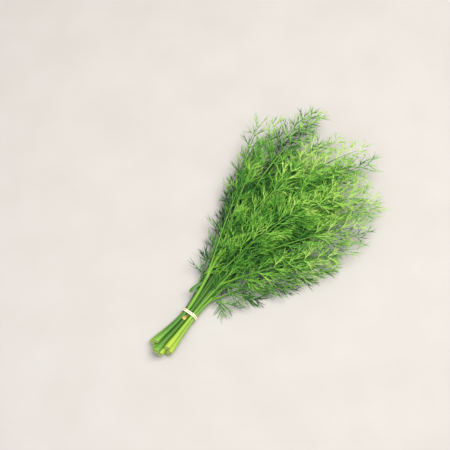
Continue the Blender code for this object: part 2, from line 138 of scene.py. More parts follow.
# How light each stem is below and beyond the band, from 0 for dark green to 1 for yellow-green
CUT_TINTS = (0.66, 0.44, 0.34, 0.76, 0.62, 0.34, 0.42, 0.80, 0.24, 0.34)
STEM_TINTS = (0.54, 0.44, 0.24, 0.60, 0.44, 0.38, 0.16, 0.52, 0.30, 0.68)
# The same for the leaves of the lowest, middle and top row, the lower rows painted darker as the shade
# under the rows above, and how much darker those at one bearing are
ROW_SHADED_LEAF_TINTS = (0.27, 0.38, 0.58)
DARK_SHADE = 0.42
DARK_BEARING = math.radians(7.5)
DARK_WIDTH = math.radians(6)
LEAF_TINT_SPREAD = 0.11
# How much lighter a thread is at its tip than at its base, partly as its paler young tip and partly as
# painted shade on its base deep in the foliage, and where it has its leaf's own tint
FRESH_TIP_AND_BASE_SHADE = 0.32
EVEN_PLACE = 0.45


class Slot(Enum):
    """The material slots of the part's record."""

    DILL = "dill_green"
    RUBBER = "cream_rubber"


class Mark(Enum):
    """The values that a surface carries at its vertices, for its material to read."""

    TINT = "tint"
    BARED = "bared"
    GRAIN = "grain"


@dataclass(frozen=True)
class Stem:
    """One stem of the bunch, from its cut end to where its topmost leaf begins."""

    name: str
    row: int
    place: int
    column: float
    tie: Vector
    cut: Vector
    cut_x: float
    heading: float
    rise: float

    def centre(self, x: float) -> Vector:
        """The centreline: splayed below the tie, level at it, then fanning out along a hyperbola.

        Args:
            x: The distance beyond the tie, negative towards the cut end.

        Returns:
            The point of the centreline there.
        """
        if x < 0:
            point = self.tie.lerp(self.cut, eased(x, SPLAY_BEND) / eased(CUT_X, SPLAY_BEND))
        else:
            run = eased(x, FAN_BEND)
            point = self.tie + Vector((0, run * math.tan(self.heading), run * math.tan(self.rise)))
        return Vector((x, point.y, point.z))

    def radius(self, x: float) -> float:
        """Thick at the cut end, thin at the tie, and tapering from there to the stem's tip.

        Args:
            x: The distance beyond the tie, negative towards the cut end.

        Returns:
            The stem's radius there.
        """
        if x < 0:
            share = eased(x, SPLAY_BEND) / eased(CUT_X, SPLAY_BEND)
            return TIE_RADIUS + (CUT_RADIUS - TIE_RADIUS) * share
        return TIE_RADIUS + (STEM_END_RADIUS - TIE_RADIUS) * (x / STEM_END_X) ** 1.5

    def slope(self, x: float) -> float:
        """The heading in plan at x beyond the tie."""
        return math.atan(math.tan(self.heading) * x / math.hypot(x, FAN_BEND))


@dataclass(frozen=True)
class Leaf:
    """One dill leaf, as an arc in plan whose heading turns evenly from its root to its tip."""

    name: str
    root: Vector
    side: int
    start_heading: float
    end_heading: float
    length: float
    tip_z: float
    arch: float
    roll: float
    stalk: float

    def centre(self, share: float) -> Vector:
        """The midrib at a share of its length."""
        turn = self.end_heading - self.start_heading
        heading = self.start_heading + turn * share
        east = (math.sin(heading) - math.sin(self.start_heading)) / turn
        north = (math.cos(self.start_heading) - math.cos(heading)) / turn
        height = (self.tip_z - self.root.z) * share + 4 * self.arch * share * (1 - share)
        return self.root + Vector((self.length * east, self.length * north, height))

    def frame(self, share: float) -> tuple[Vector, Vector, Vector]:
        """Unit vectors along the midrib, to its +Y side in the leaf's plane, and square to that plane."""
        step = 0.01
        along = (self.centre(share + step) - self.centre(share - step)).normalized()
        upward = Matrix.Rotation(self.roll, 3, along) @ UPWARD
        sideways = upward.cross(along).normalized()
        return along, sideways, along.cross(sideways)


class Space:
    """Small cells of space and the branches that pass through each, so that no two branches cross."""

    def __init__(self) -> None:
        """Starts with every cell empty."""
        self.owners: dict[tuple[int, ...], set[str]] = {}

    def cell(self, point: Vector) -> tuple[int, ...]:
        """The whole numbers of the cell that a point lies in."""
        return tuple(round(value / CELL) for value in point)

    def fill(self, points: list[Vector], owner: str) -> None:
        """Marks the cells of these points as the owner's."""
        for point in points:
            self.owners.setdefault(self.cell(point), set()).add(owner)

    def is_free(self, points: list[Vector], allowed: set[str]) -> bool:
        """Tells whether a branch can pass here.

        Args:
            points: Points of the branch.
            allowed: The owners that it may touch.

        Returns:
            True if only allowed owners pass within a cell of these points, and none is too low.
        """
        for point in points:
            if point.z < LOWEST_THREAD_Z:
                return False
            i, j, k = self.cell(point)
            for near in ((i + a, j + b, k + c) for a in (-1, 0, 1) for b in (-1, 0, 1) for c in (-1, 0, 1)):
                if not self.owners.get(near, allowed) <= allowed:
                    return False
        return True


@dataclass(frozen=True)
class Stub:
    """A short piece on a stem that bears no leaflets, with its end as an offset from the stem's centre."""

    row: int
    column: float
    root_x: float
    end: Vector


TORN_SHEATH = Stub(2, 1.0, 38 * MM, Vector((-20, 6, 1)) * MM)
LEAF_SCAR = Stub(2, 0.0, -7 * MM, Vector((-1, 1.8, 3.1)) * MM)


def eased(x: float, bend: float) -> float:
    """How far a hyperbola has risen at x, when it starts level and ends at a slope of one."""
    return math.hypot(x, bend) - bend


def line(start: Vector, end: Vector) -> list[Vector]:
    """Points about 1 mm apart from start to end."""
    count = max(2, round((end - start).length / MM))
    return [start.lerp(end, i / count) for i in range(count + 1)]


def polygon(centre: Vector, sideways: Vector, upward: Vector, radius: float, sides: int) -> list[Vector]:
    """The corners of a regular polygon about a centre, with flats square to sideways."""
    turn = math.pi / sides
    return [
        centre + radius * (math.cos(turn * (2 * i + 1)) * sideways + math.sin(turn * (2 * i + 1)) * upward)
        for i in range(sides)
    ]


def stalk_share(stem: Stem, number: int) -> float:
    """The bare share of a leaf, which is least on the top row's leaves because they cover the neck."""
    if number == 3:
        return TIP_STALK_SHARE
    if stem.row == 2:
        return TOP_STALK_SHARE
    return FIRST_STALK_SHARE if number == 0 and abs(stem.column) == 1 else STALK_SHARE


class Skeleton:
    """The stems of the bunch and the midribs of their leaves, placed as the model places them."""

    def __init__(self) -> None:
        """Draws the stems and then their leaves, each in the first place where it crosses nothing."""
        self.chance = random.Random(52)
        self.space = Space()
        self.stems = self.make_stems()
        for stem in self.stems:
            self.fill_stem(stem)
        self.leaves = [self.make_leaves(stem) for stem in self.stems]

    def make_stems(self) -> list[Stem]:
        """The stems, row by row from the lowest, each with its place at the tie and at the cut."""
        stems: list[Stem] = []
        for row, count in enumerate(STEMS_IN_ROW):
            for place in range(count):
                offset = place - (count - 1) / 2
                column = offset / ((count - 1) / 2)
                stems.append(Stem(
                    name=f"leafy_stem_{len(stems) + 1:02d}",
                    row=row,
                    place=place,
                    column=column,
                    tie=Vector((0, offset * STEM_PITCH, LOWEST_STEM_Z + row * ROW_PITCH)),
                    cut=Vector((CUT_X, offset * CUT_SPREAD + CUT_SHIFT, CUT_RADIUS + row * CUT_ROW_PITCH)),
                    cut_x=CUT_X * (self.chance.uniform(0.93, 1.0) - OUTER_CUT_SHORTER * column ** 2),
                    heading=ROW_FAN[row] * column + STEM_TURN,
                    rise=ROW_RISE[row],
                ))
        return stems

    def make_leaf(self, stem: Stem, number: int, root_x: float, side: int, strayed: float) -> Leaf:
        """One leaf from the stem's side, or from its tip where side is 0.

        Args:
            stem: The stem that bears it.
            number: 0 to 3, counted along the stem.
            root_x: Where it leaves the stem.
            side: 1 for the stem's +Y side, -1 for the other, 0 for its tip.
            strayed: How far its bearing may stray, in radians, beyond the usual.

        Returns:
            The leaf. Between two stems of a row, those of the one at +Y arch over those of the other.
        """
        root = stem.centre(root_x)
        hand = side if side else self.chance.choice((-1, 1))
        turn = OUTER_TIP_TURN if abs(stem.column) == 1 else INNER_TIP_TURN
        off_middle = 1.1 * (math.atan2(root.y, root_x) - STEM_TURN) + hand * turn[number]
        off_middle += self.chance.uniform(-1, 1) * (math.radians(1.5) + strayed)
        off_middle = max(-FAN_HALF_ANGLE, min(FAN_HALF_ANGLE, off_middle))
        bearing = FAN_MIDDLE + off_middle
        edge = 1 - EDGE_SHORTER * ((off_middle - LONGEST_OFF_MIDDLE) / FAN_HALF_ANGLE) ** 2
        radius = REACH * LEAF_REACH[number] * edge * self.chance.uniform(0.96, 1.04)
        chord = Vector((radius * math.cos(bearing) - root.x, radius * math.sin(bearing) - root.y))
        straight = math.atan2(chord.y, chord.x)
        if side:
            divergence = OUTER_DIVERGENCE if side == stem.column else INNER_DIVERGENCE
            bend = side * max(LEAF_BEND, divergence + side * (stem.slope(root_x) - straight))
        else:
            bend = stem.slope(root_x) - straight + 0.01
        low, high = ROW_TIP_Z[stem.row]
        touches_down = stem.row == 0 and number == 0 and stem.column != 0
        is_lifted = side < 0 and stem.column > -1
        return Leaf(
            name=f"{stem.name} leaf {number}",
            root=root,
            side=side,
            start_heading=straight + bend,
            end_heading=straight - bend,
            length=chord.length * bend / math.sin(bend),
            tip_z=0.0 if touches_down else self.chance.uniform(low, high),
            arch=ROW_ARCH[stem.row] * self.chance.uniform(0.8, 1.2) + (LEAF_LIFT if is_lifted else 0.0),
            roll=-side * LEAF_ROLL + math.radians(self.chance.uniform(-8, 8)),
            stalk=stalk_share(stem, number),
        )

    def fitting_leaf(self, stem: Stem, number: int, root_x: float, side: int) -> Leaf:
        """The first leaf that crosses no other, straying further from its usual place with each try.

        Args:
            stem: The stem that bears it.
            number: 0 to 3, counted along the stem.
            root_x: Where it usually leaves the stem.
            side: 1 for the stem's +Y side, -1 for the other, 0 for its tip.

        Returns:
            The leaf.
        """
        for attempt in range(300):
            stray = self.chance.uniform(-1, 1) * min(ROOT_STRAY, 0.1 * MM * attempt) * (side != 0)
            leaf = self.make_leaf(stem, number, root_x + stray, side, math.radians(0.05) * attempt)
            count = round(leaf.length / MM)
            points = [leaf.centre(i / count) for i in range(8, count - 8)]
            if self.space.is_free(points[:22], {stem.name}) and self.space.is_free(points[22:], set()):
                return leaf
        raise ValueError(f"{stem.name} has no room for leaf {number}")

    def make_leaves(self, stem: Stem) -> list[Leaf]:
        """The stem's leaves: on its first side, its other side, its first side again, and at its tip."""
        is_outer = abs(stem.column) == 1
        first = int(stem.column) if is_outer else (-1) ** stem.place
        roots = OUTER_LEAF_X if is_outer else INNER_LEAF_X
        if stem.row == 2:
            roots = tuple(max(FIRST_TOP_LEAF_X, x) for x in roots)
        leaves = []
        for number, root_x in enumerate(roots + (STEM_END_X,)):
            leaf = self.fitting_leaf(stem, number, root_x, (first, -first, first, 0)[number])
            self.fill_leaf(leaf)
            leaves.append(leaf)
        return leaves

    def fill_stem(self, stem: Stem) -> None:
        """Marks where the stem runs."""
        x = stem.cut_x
        while x < STEM_END_X:
            centre = stem.centre(x)
            self.space.fill([centre] + polygon(centre, SIDEWAYS, UPWARD, stem.radius(x), 8), stem.name)
            x += MM
        for stub in (TORN_SHEATH, LEAF_SCAR):
            if (stub.row, stub.column) == (stem.row, stem.column):
                root = stem.centre(stub.root_x)
                self.space.fill(line(root, root + stub.end), stem.name)

    def fill_leaf(self, leaf: Leaf) -> None:
        """Marks where the leaf's midrib runs."""
        count = round(leaf.length / MM)
        for i in range(count + 1):
            along, sideways, upward = leaf.frame(i / count)
            centre = leaf.centre(i / count)
            self.space.fill([centre] + polygon(centre, sideways, upward, 0.6 * MM, 4), leaf.name)


@dataclass
class Surface:
    """A closed mesh of triangles, with marks at its vertices for its material to read."""

    points: np.ndarray
    triangles: np.ndarray
    marks: dict[Mark, np.ndarray]


def unit(vectors: np.ndarray) -> np.ndarray:
    """Each vector divided by its length."""
    return vectors / np.linalg.norm(vectors, axis=-1, keepdims=True)


def joined(surfaces: list[Surface]) -> Surface:
    """Several surfaces with the same marks as one, side by side."""
    starts = np.cumsum([0] + [len(surface.points) for surface in surfaces[:-1]])
    return Surface(
        points=np.concatenate([surface.points for surface in surfaces]),
        triangles=np.concatenate([s.triangles + start for s, start in zip(surfaces, starts)]),
        marks={
            mark: np.concatenate([surface.marks[mark] for surface in surfaces])
            for mark in surfaces[0].marks
        },
    )


def ring_angles(sides: int) -> np.ndarray:
    """The angles of a ring's points, evenly spaced from half a step on."""
    return 2 * np.pi * (np.arange(sides) + 0.5) / sides


def tube_triangles(count: int, rings: int, sides: int) -> np.ndarray:
    """The triangles of closed tubes whose points are numbered ring by ring, then the two end points.

    Each wall square between rings i and i + 1 is cut in two. A fan about each end point closes it.

    Args:
        count: How many tubes.
        rings: How many rings each has.
        sides: How many points each ring has.

    Returns:
        Point numbers, three for each triangle, anticlockwise from outside.
    """
    ring, side = np.meshgrid(np.arange(rings - 1), np.arange(sides), indexing="ij")
    a = (ring * sides + side).ravel()
    b = (ring * sides + (side + 1) % sides).ravel()
    first = np.arange(sides)
    following = (first + 1) % sides
    last = (rings - 1) * sides
    start = np.full(sides, rings * sides)
    one = np.concatenate([
        np.stack([a, b, b + sides], axis=-1),
        np.stack([a, b + sides, a + sides], axis=-1),
        np.stack([start, following, first], axis=-1),
        np.stack([start + 1, last + first, last + following], axis=-1),
    ])
    offsets = np.arange(count) * (rings * sides + 2)
    return (one[None] + offsets[:, None, None]).reshape(-1, 3)


def tube_points(
    centres: np.ndarray, across: np.ndarray, square: np.ndarray,
    half_wide: np.ndarray, half_thick: np.ndarray, sides: int, ends: np.ndarray,
) -> np.ndarray:
    """The points of closed tubes with elliptical rings.

    A ring's point is centre + half_wide * cos(angle) * across + half_thick * sin(angle) * square.

    Args:
        centres: The rings' centres, by tube and ring.
        across: Unit vectors across each tube, by tube and ring.
        square: Unit vectors square to it and to the tube.
        half_wide: Half the width along across, by tube and ring.
        half_thick: Half the thickness along square.
        sides: How many points each ring has.
        ends: The two end points of each tube.

    Returns:
        The points of each tube in turn: its rings, then its ends.
    """
    count = len(centres)
    angle = ring_angles(sides)
    wide = (half_wide[..., None] * np.cos(angle))[..., None] * across[:, :, None]
    thick = (half_thick[..., None] * np.sin(angle))[..., None] * square[:, :, None]
    rings = (centres[:, :, None] + wide + thick).reshape(count, -1, 3)
    return np.concatenate([rings, ends], axis=1).reshape(-1, 3)


def lifted(points: np.ndarray) -> np.ndarray:
    """The points with those near or under the floor raised to lie on it.

    With h the height above the lowest that a thread's centre may be, the new one is
    (h + sqrt(h^2 + c^2)) / 2, which is h high up and tends to nothing far below.
    """
    lowest = 0.45 * MM
    curve = 1.2 * MM
    height = points[..., 2] - lowest
    raised = points.copy()
    raised[..., 2] = lowest + (height + np.hypot(height, curve)) / 2
    return raised


@dataclass
class Nodes:
    """Places where side threads may leave, with the directions along and across the blade there."""

    point: np.ndarray
    along: np.ndarray
    across: np.ndarray


@dataclass
class Threads:
    """Many curved threads at once, each a row of the arrays.

    A thread's centreline is base + length * (share * along + share^2 / 2 * bend), with share from 0
    to 1. Across is the direction in its blade's plane that its side threads take.
    """

    base: np.ndarray
    along: np.ndarray
    bend: np.ndarray
    across: np.ndarray
    length: np.ndarray
    tint: np.ndarray

    def points(self, shares: np.ndarray) -> np.ndarray:
        """The centrelines, by thread and share, kept above the floor."""
        forward = shares[..., None] * self.along[:, None] + shares[..., None] ** 2 / 2 * self.bend[:, None]
        return lifted(self.base[:, None] + self.length[:, None, None] * forward)

    def nodes(self, shares: np.ndarray) -> Nodes:
        """The threads' nodes, by thread and share."""
        along = unit(self.along[:, None] + shares[..., None] * self.bend[:, None])
        across = self.across[:, None] - np.sum(self.across[:, None] * along, -1, keepdims=True) * along
        return Nodes(self.points(shares), along, unit(across))

    def kept(self, which: np.ndarray) -> "Threads":
        """Only these threads."""
        return Threads(
            self.base[which], self.along[which], self.bend[which],
            self.across[which], self.length[which], self.tint[which],
        )

    def tubes(self, radius: float, ring_shares: tuple[float, ...], sides: int) -> Surface:
        """The threads as tapered tubes that end in points.

        At a share of the length, the radius is radius * (1 - share^2)^0.6, so a thread is even along
        most of its length and sharp at its tip.

        Args:
            radius: The radius at the base.
            ring_shares: Where along the thread its rings stand, from 0 to less than 1.
            sides: How many sides a tube has.

        Returns:
            The tubes, a little lighter towards their tips: paler young tips, and painted shade at their
            bases.
        """
        count = len(self.length)
        shares = np.broadcast_to(np.array(ring_shares), (count, len(ring_shares)))
        nodes = self.nodes(shares)
        thick = radius * (1 - shares ** 2) ** 0.6
        square = np.cross(nodes.along, nodes.across)
        ends = self.points(np.broadcast_to(np.array([0.0, 1.0]), (count, 2)))
        points = tube_points(nodes.point, nodes.across, square, thick, thick, sides, ends)
        place = np.concatenate([np.repeat(ring_shares, sides), [0.0, 1.0]])
        # Paler young tips, and painted shade on the bases, which lie deep in the foliage
        tint = self.tint[:, None] + FRESH_TIP_AND_BASE_SHADE * (place[None] - EVEN_PLACE)
        triangles = tube_triangles(count, len(ring_shares), sides)
        return Surface(points, triangles, {Mark.TINT: tint.ravel()})


@dataclass(frozen=True)
class Pairing:
    """How pairs of side threads leave what bears them. Angles are in radians."""

    angle: float
    angle_spread: float
    curl: float
    tilt_spread: float
    length_spread: float
    tint_spread: float

    def sprout(
        self, nodes: Nodes, hands: np.ndarray, lengths: np.ndarray, tint: np.ndarray,
        draw: np.random.Generator, turned: float | np.ndarray = 0.0,
    ) -> Threads:
        """Grows one thread at each node.

        A thread leaves at an angle to what bears it, in the blade's plane tilted about the bearer,
        and bends forward by the curl.

        Args:
            nodes: The places, by bearer and place along it.
            hands: 1 or -1 for the side that each thread leaves on.
            lengths: The threads' lengths before they are varied.
            tint: The bearers' tints, by bearer and place along it.
            draw: The source of chance.
            turned: How far each is turned back beyond its usual angle.

        Returns:
            The threads.
        """
        shape = lengths.shape
        hand = np.broadcast_to(hands, shape)[..., None]
        tilt = (self.tilt_spread * draw.standard_normal(shape))[..., None]
        angle = (self.angle + turned + self.angle_spread * draw.standard_normal(shape))[..., None]
        square = np.cross(nodes.along, nodes.across)
        out = hand * np.cos(tilt) * nodes.across + np.sin(tilt) * square
        along = np.cos(angle) * nodes.along + np.sin(angle) * out
        across = np.cos(angle) * out - np.sin(angle) * nodes.along
        droop = 0.10 * draw.standard_normal(shape)[..., None] * square
        return Threads(
            base=nodes.point.reshape(-1, 3),
            along=along.reshape(-1, 3),
            bend=(droop - self.curl * across).reshape(-1, 3),
            across=across.reshape(-1, 3),
            length=(lengths * draw.uniform(1 - self.length_spread, 1 + self.length_spread, shape)).ravel(),
            tint=(tint + self.tint_spread * draw.standard_normal(shape)).ravel(),
        )


@dataclass
class Foliage:
    """The divided blades of one stem's leaves."""

    draw: np.random.Generator
    pair_spacing: float = 15.0 * MM
    side_spacing: float = 8.2 * MM
    thread_spacing: float = 7.4 * MM
    leaflet_length: float = 29 * MM
    least_side: float = 9.0 * MM
    least_thread: float = 8.0 * MM
    sparse_spacing: float = 4.2 * MM
    reach: float = 0.42
    leaflet_radius: float = 0.52 * MM
    side_radius: float = 0.46 * MM
    thread_radius: float = 0.42 * MM
    # Painted shade on the leaflets near a leaf's root, deep inside the bunch, and painted light on those
    # towards its tip
    root_painted_shade: float = 0.20
    tip_painted_light: float = 0.44
    # The hanging leaflet is painted lighter than its row's leaves, as painted light against the shade it
    # hangs in
    hanging_painted_light_tint: float = 0.5
    leaflets: Pairing = Pairing(math.radians(43), 0.12, math.radians(24), 0.26, 0.14, 0.08)
    sides: Pairing = Pairing(math.radians(24), 0.10, math.radians(10), 0.40, 0.18, 0.08)
    threads: Pairing = Pairing(math.radians(19), 0.12, math.radians(8), 0.50, 0.25, 0.11)
    hanging: Pairing = Pairing(math.radians(36), 0.15, math.radians(6), 0.50, 0.20, 0.08)

    def leaflet_threads(self, leaf: Leaf, tint: float) -> Threads:
        """The leaflets of a leaf, in pairs that stand closer and grow shorter towards its tip.

        With t from 0 to 1, the pairs stand at 1 - (1 - t)^1.2 of the blade, and a leaflet's length is
        full size * (1 - 0.6 * place^1.4), where place is the share of the way to the last full pair.
        On the bunch's +Y side, those to +Y are pressed to x / NECK_END of that, and no shorter than
        PRESSED_SHARE of it. Those to -Y shorten to (y - EDGE_Y) / EDGE_FADE of it, and no shorter than
        EDGE_LEAST of it. A leaflet's tint is the leaf's - root painted shade + tip painted light *
        place^1.3, which paints shade on the leaflets near the leaf's root, deep in the bunch, and light
        towards its tip.

        Args:
            leaf: The leaf.
            tint: How light it is.

        Returns:
            The leaflets' own threads.
        """
        stalk = EARLY_SHARE if leaf.name in EARLY_LEAVES else leaf.stalk
        pairs = round((1 - stalk) * leaf.length / self.pair_spacing)
        even = np.linspace(0, 0.97, pairs)
        shares = np.repeat(stalk + (1 - stalk) * (1 - (1 - even) ** 1.2), 2)
        shares += self.draw.uniform(-0.008, 0.008, shares.shape)
        place = np.clip((shares - stalk) / (0.86 - stalk), 0, 1.2)
        full = self.leaflet_length * (0.8 + 0.2 * leaf.length / (150 * MM))
        frames = np.array([leaf.frame(share) for share in shares])
        roots = lifted(np.array([leaf.centre(share) for share in shares]))
        nodes = Nodes(roots[None], frames[None, :, 0], frames[None, :, 1])
        hands = np.tile([-1, 1], pairs)
        pressed = np.clip(roots[:, 0] / NECK_END, PRESSED_SHARE, 1)
        lengths = full * (1 - 0.6 * place ** 1.4) * np.where((hands > 0) & (roots[:, 1] > 0), pressed, 1)
        lengths *= np.where(hands < 0, np.clip((roots[:, 1] - EDGE_Y) / EDGE_FADE, EDGE_LEAST, 1), 1)
        hangs = (leaf.name == HANGING_LEAF) & (np.arange(2 * pairs) == 0)
        lengths = np.where(hangs, HANGING_LENGTH, lengths)[None]
        tints = tint - self.root_painted_shade + self.tip_painted_light * place ** 1.3
        # The hanging leaflet takes its painted light tint in place of its row's
        tints = np.where(hangs, self.hanging_painted_light_tint, tints)[None]
        return self.leaflets.sprout(nodes, hands, lengths, tints, self.draw, HANGING_TURN * hangs)

    def side_threads(self, bearers: Threads, pairing: Pairing, spacing: float, least: float) -> Threads:
        """Pairs of side threads at an even spacing along each bearer.

        A side thread's length is least + reach * what is left of its bearer.

        Args:
            bearers: The threads that bear them.
            pairing: How they leave.
            spacing: The distance between pairs.
            least: The length of a side thread at its bearer's tip.

        Returns:
            The side threads.
        """
        pairs = int(bearers.length.max() / spacing) + 1
        distance = np.repeat(spacing * (np.arange(pairs) + 0.5), 2)
        distance = distance + 0.2 * spacing * self.draw.uniform(-1, 1, (len(bearers.length), 2 * pairs))
        shares = distance / bearers.length[:, None]
        lengths = least + self.reach * np.maximum(bearers.length[:, None] - distance, 0)
        hands = np.tile([-1, 1], pairs)
        nodes = bearers.nodes(np.minimum(shares, 1))
        threads = pairing.sprout(nodes, hands, lengths, bearers.tint[:, None], self.draw)
        return threads.kept((shares < 0.92).ravel())

    def blade(self, leaf: Leaf, tint: float) -> Surface:
        """The blade of one leaf: leaflets, their side threads and the threads of those.

        The leaflet that hangs back has only sparse side threads.

        Args:
            leaf: The leaf.
            tint: How light it is.

        Returns:
            All the threads as tubes.
        """
        leaflets = self.leaflet_threads(leaf, tint)
        hangs = (leaf.name == HANGING_LEAF) & (np.arange(len(leaflets.length)) == 0)
        sides = self.side_threads(leaflets.kept(~hangs), self.sides, self.side_spacing, self.least_side)
        threads = self.side_threads(sides, self.threads, self.thread_spacing, self.least_thread)
        surfaces = [
            leaflets.tubes(self.leaflet_radius, (0.0, 0.25, 0.5, 0.75, 0.92), 4),
            sides.tubes(self.side_radius, (0.0, 0.35, 0.7), 3),
            threads.tubes(self.thread_radius, (0.0, 0.5), 3),
        ]
        if hangs.any():
            bearer = leaflets.kept(hangs)
            sparse = self.side_threads(bearer, self.hanging, self.sparse_spacing, self.least_side)
            surfaces.append(sparse.tubes(self.thread_radius, (0.0, 0.35, 0.7), 3))
        return joined(surfaces)


@dataclass
class Stalks:
    """One stem with the stalks and midribs of its leaves."""

    sides: int = 48
    ring_step: float = 1.25 * MM
    ribs: int = 12
    rib_depth: float = 0.028
    node_swelling: float = 0.17
    node_length: float = 2.4 * MM
    wall: float = 0.9 * MM
    hollow: float = 8 * MM
    slant: float = 0.25
    flare: float = 0.17
    flare_length: float = 16 * MM
    rib_radius: float = 0.95 * MM
    rib_taper: float = 0.68
    midrib_rings: int = 72
    midrib_sides: int = 10
    clasp_length: float = 17 * MM
    clasp_width: float = 1.1
    clasp_side: float = 0.15
    clasp_lighter: float = 0.16
    rib_tip_darker: float = 0.10
    slant_length: float = 6 * MM
    tint_blend: float = 2 * MM
    cut_lighter: float = 0.40
    end_darker: float = 0.22

    def stem(
        self, stem: Stem, leaves: list[Leaf], cut_tint: float, tint: float, draw: np.random.Generator,
    ) -> Surface:
        """The stem as a profile carried along its centreline.

        The profile starts in the middle of the hollow's end, comes out along the inner wall, crosses
        the slanted rim and goes on as the outer wall. There the radius is the stem's, times
        1 + depth * cos(ribs * angle) for the ribs, and times 1 + swelling * exp(-(d / length)^2) near
        each leaf's root, with d the distance to it. Sideways it is wider by flare * exp(-(d / length)^2)
        near the cut. Its tint goes from the cut's to the upper one about the band, on a smooth step, plus
        cut lighter * (x / cut x)^5 below the band and less end darker * x / end x beyond it.

        Args:
            stem: The stem.
            leaves: Its leaves, whose roots are the swollen nodes.
            cut_tint: How light it is below the band.
            tint: How light it is beyond the band.
            draw: The source of chance.

        Returns:
            The closed stem.
        """
        x = np.arange(stem.cut_x + 1.0 * MM, STEM_END_X + self.ring_step / 2, self.ring_step)
        radius = np.array([stem.radius(value) for value in x])
        for leaf in leaves:
            radius *= 1 + self.node_swelling * np.exp(-((x - leaf.root.x) / self.node_length) ** 2)
        outer = stem.radius(stem.cut_x)
        inner = outer - self.wall
        rim_x = np.array([self.hollow, self.hollow - MM, 0.15 * MM, 0.0, 0.0, 0.18 * MM]) + stem.cut_x
        rim_radius = np.array([0.55 * inner, inner, inner, inner + 0.12 * MM, outer - 0.16 * MM, outer])
        x = np.concatenate([rim_x, x])
        radius = np.concatenate([rim_radius, radius])
        ribbed = np.concatenate([np.zeros(4), [0.5], np.ones(len(x) - 5)])
        bared = np.concatenate([[0.8, 0.75, 0.85, 1.0, 1.0, 0.25], np.zeros(len(x) - 6)])
        centres = np.array([stem.centre(value) for value in x])
        angle = ring_angles(self.sides)
        ribs = 1 + self.rib_depth * ribbed[:, None] * np.cos(self.ribs * angle + draw.uniform(0, 6))
        circle = np.stack([0 * angle, np.cos(angle), np.sin(angle)], -1)
        offset = (radius[:, None] * ribs)[..., None] * circle
        offset[..., 1] *= 1 + self.flare * np.exp(-((x[:, None] - stem.cut_x) / self.flare_length) ** 2)
        rings = centres[:, None] + offset
        fading = np.exp(-((x - stem.cut_x) / self.slant_length) ** 2)
        lean = np.array([draw.uniform(-self.slant, self.slant), self.slant])
        rings[..., 0] += fading[:, None] * (offset[..., 1:] @ lean)
        ends = centres[[0, -1]]
        ends[0, 0] = rings[0, :, 0].mean()
        points = np.concatenate([rings.reshape(-1, 3), ends])
        around = np.stack([radius[:, None] * np.cos(angle), radius[:, None] * np.sin(angle)], -1)
        grain = np.concatenate([around, np.broadcast_to(x[:, None, None], around.shape[:2] + (1,))], -1)
        grain = np.concatenate([grain.reshape(-1, 3), np.zeros((2, 3))])
        beyond = 1 / (1 + np.exp(-(x - self.tint_blend) / self.tint_blend))
        shade = cut_tint + (tint - cut_tint) * beyond
        towards_cut = np.clip(x / stem.cut_x, 0, 1) ** 5
        shade += self.cut_lighter * towards_cut - self.end_darker * np.clip(x / STEM_END_X, 0, 1)
        return Surface(points, tube_triangles(1, len(x), self.sides), {
            Mark.TINT: np.concatenate([np.repeat(shade, self.sides), [tint, tint]]),
            Mark.BARED: np.concatenate([np.repeat(bared, self.sides), [1.0, 0.0]]),
            Mark.GRAIN: grain,
        })

    def midribs(self, leaves: list[Leaf], tint: float) -> Surface:
        """The stalks and midribs of a stem's leaves.

        A midrib's half width falls from its root as 1 - taper * share, and to nothing at its tip. Near
        the root the stalk clasps the stem: its height there is widened by width * exp(-(d / length)^2).

        Args:
            leaves: The leaves, the last of them at the stem's tip.
            tint: How light they are.

        Returns:
            One closed tube for each leaf.
        """
        shares = np.linspace(0, 0.985, self.midrib_rings)
        centres = lifted(np.array([[leaf.centre(share) for share in shares] for leaf in leaves]))
        frames = np.array([[leaf.frame(share) for share in shares] for leaf in leaves])
        length = np.array([leaf.length for leaf in leaves])[:, None]
        root = np.array([self.rib_radius if leaf.side else STEM_END_RADIUS for leaf in leaves])[:, None]
        is_side = np.array([leaf.side != 0 for leaf in leaves])[:, None]
        tapered = root * (1 - self.rib_taper * shares) * (1 - shares ** 6) ** 0.5
        clasp = is_side * np.exp(-(shares * length / self.clasp_length) ** 2)
        ends = np.stack([centres[:, 0], lifted(np.array([leaf.centre(1.0) for leaf in leaves]))], axis=1)
        points = tube_points(
            centres, frames[:, :, 1], frames[:, :, 2],
            tapered * (1 + self.clasp_side * clasp), tapered * (1 + self.clasp_width * clasp),
            self.midrib_sides, ends,
        )
        angle = ring_angles(self.midrib_sides)
        circle = np.broadcast_to(np.stack([np.cos(angle), np.sin(angle)], -1), clasp.shape + (len(angle), 2))
        run = np.broadcast_to((shares * length)[..., None, None], circle.shape[:3] + (1,))
        grain = np.concatenate([circle * tapered[..., None, None], run], -1).reshape(len(leaves), -1, 3)
        grain = np.concatenate([grain, np.zeros((len(leaves), 2, 3))], axis=1).reshape(-1, 3)
        shade = tint + self.clasp_lighter * clasp - self.rib_tip_darker * shares
        shade = np.concatenate([np.repeat(shade, self.midrib_sides, axis=1), shade[:, :1], shade[:, -1:]], 1)
        return Surface(points, tube_triangles(len(leaves), len(shares), self.midrib_sides), {
            Mark.TINT: shade.ravel(),
            Mark.BARED: np.zeros(len(points)),
            Mark.GRAIN: grain,
        })


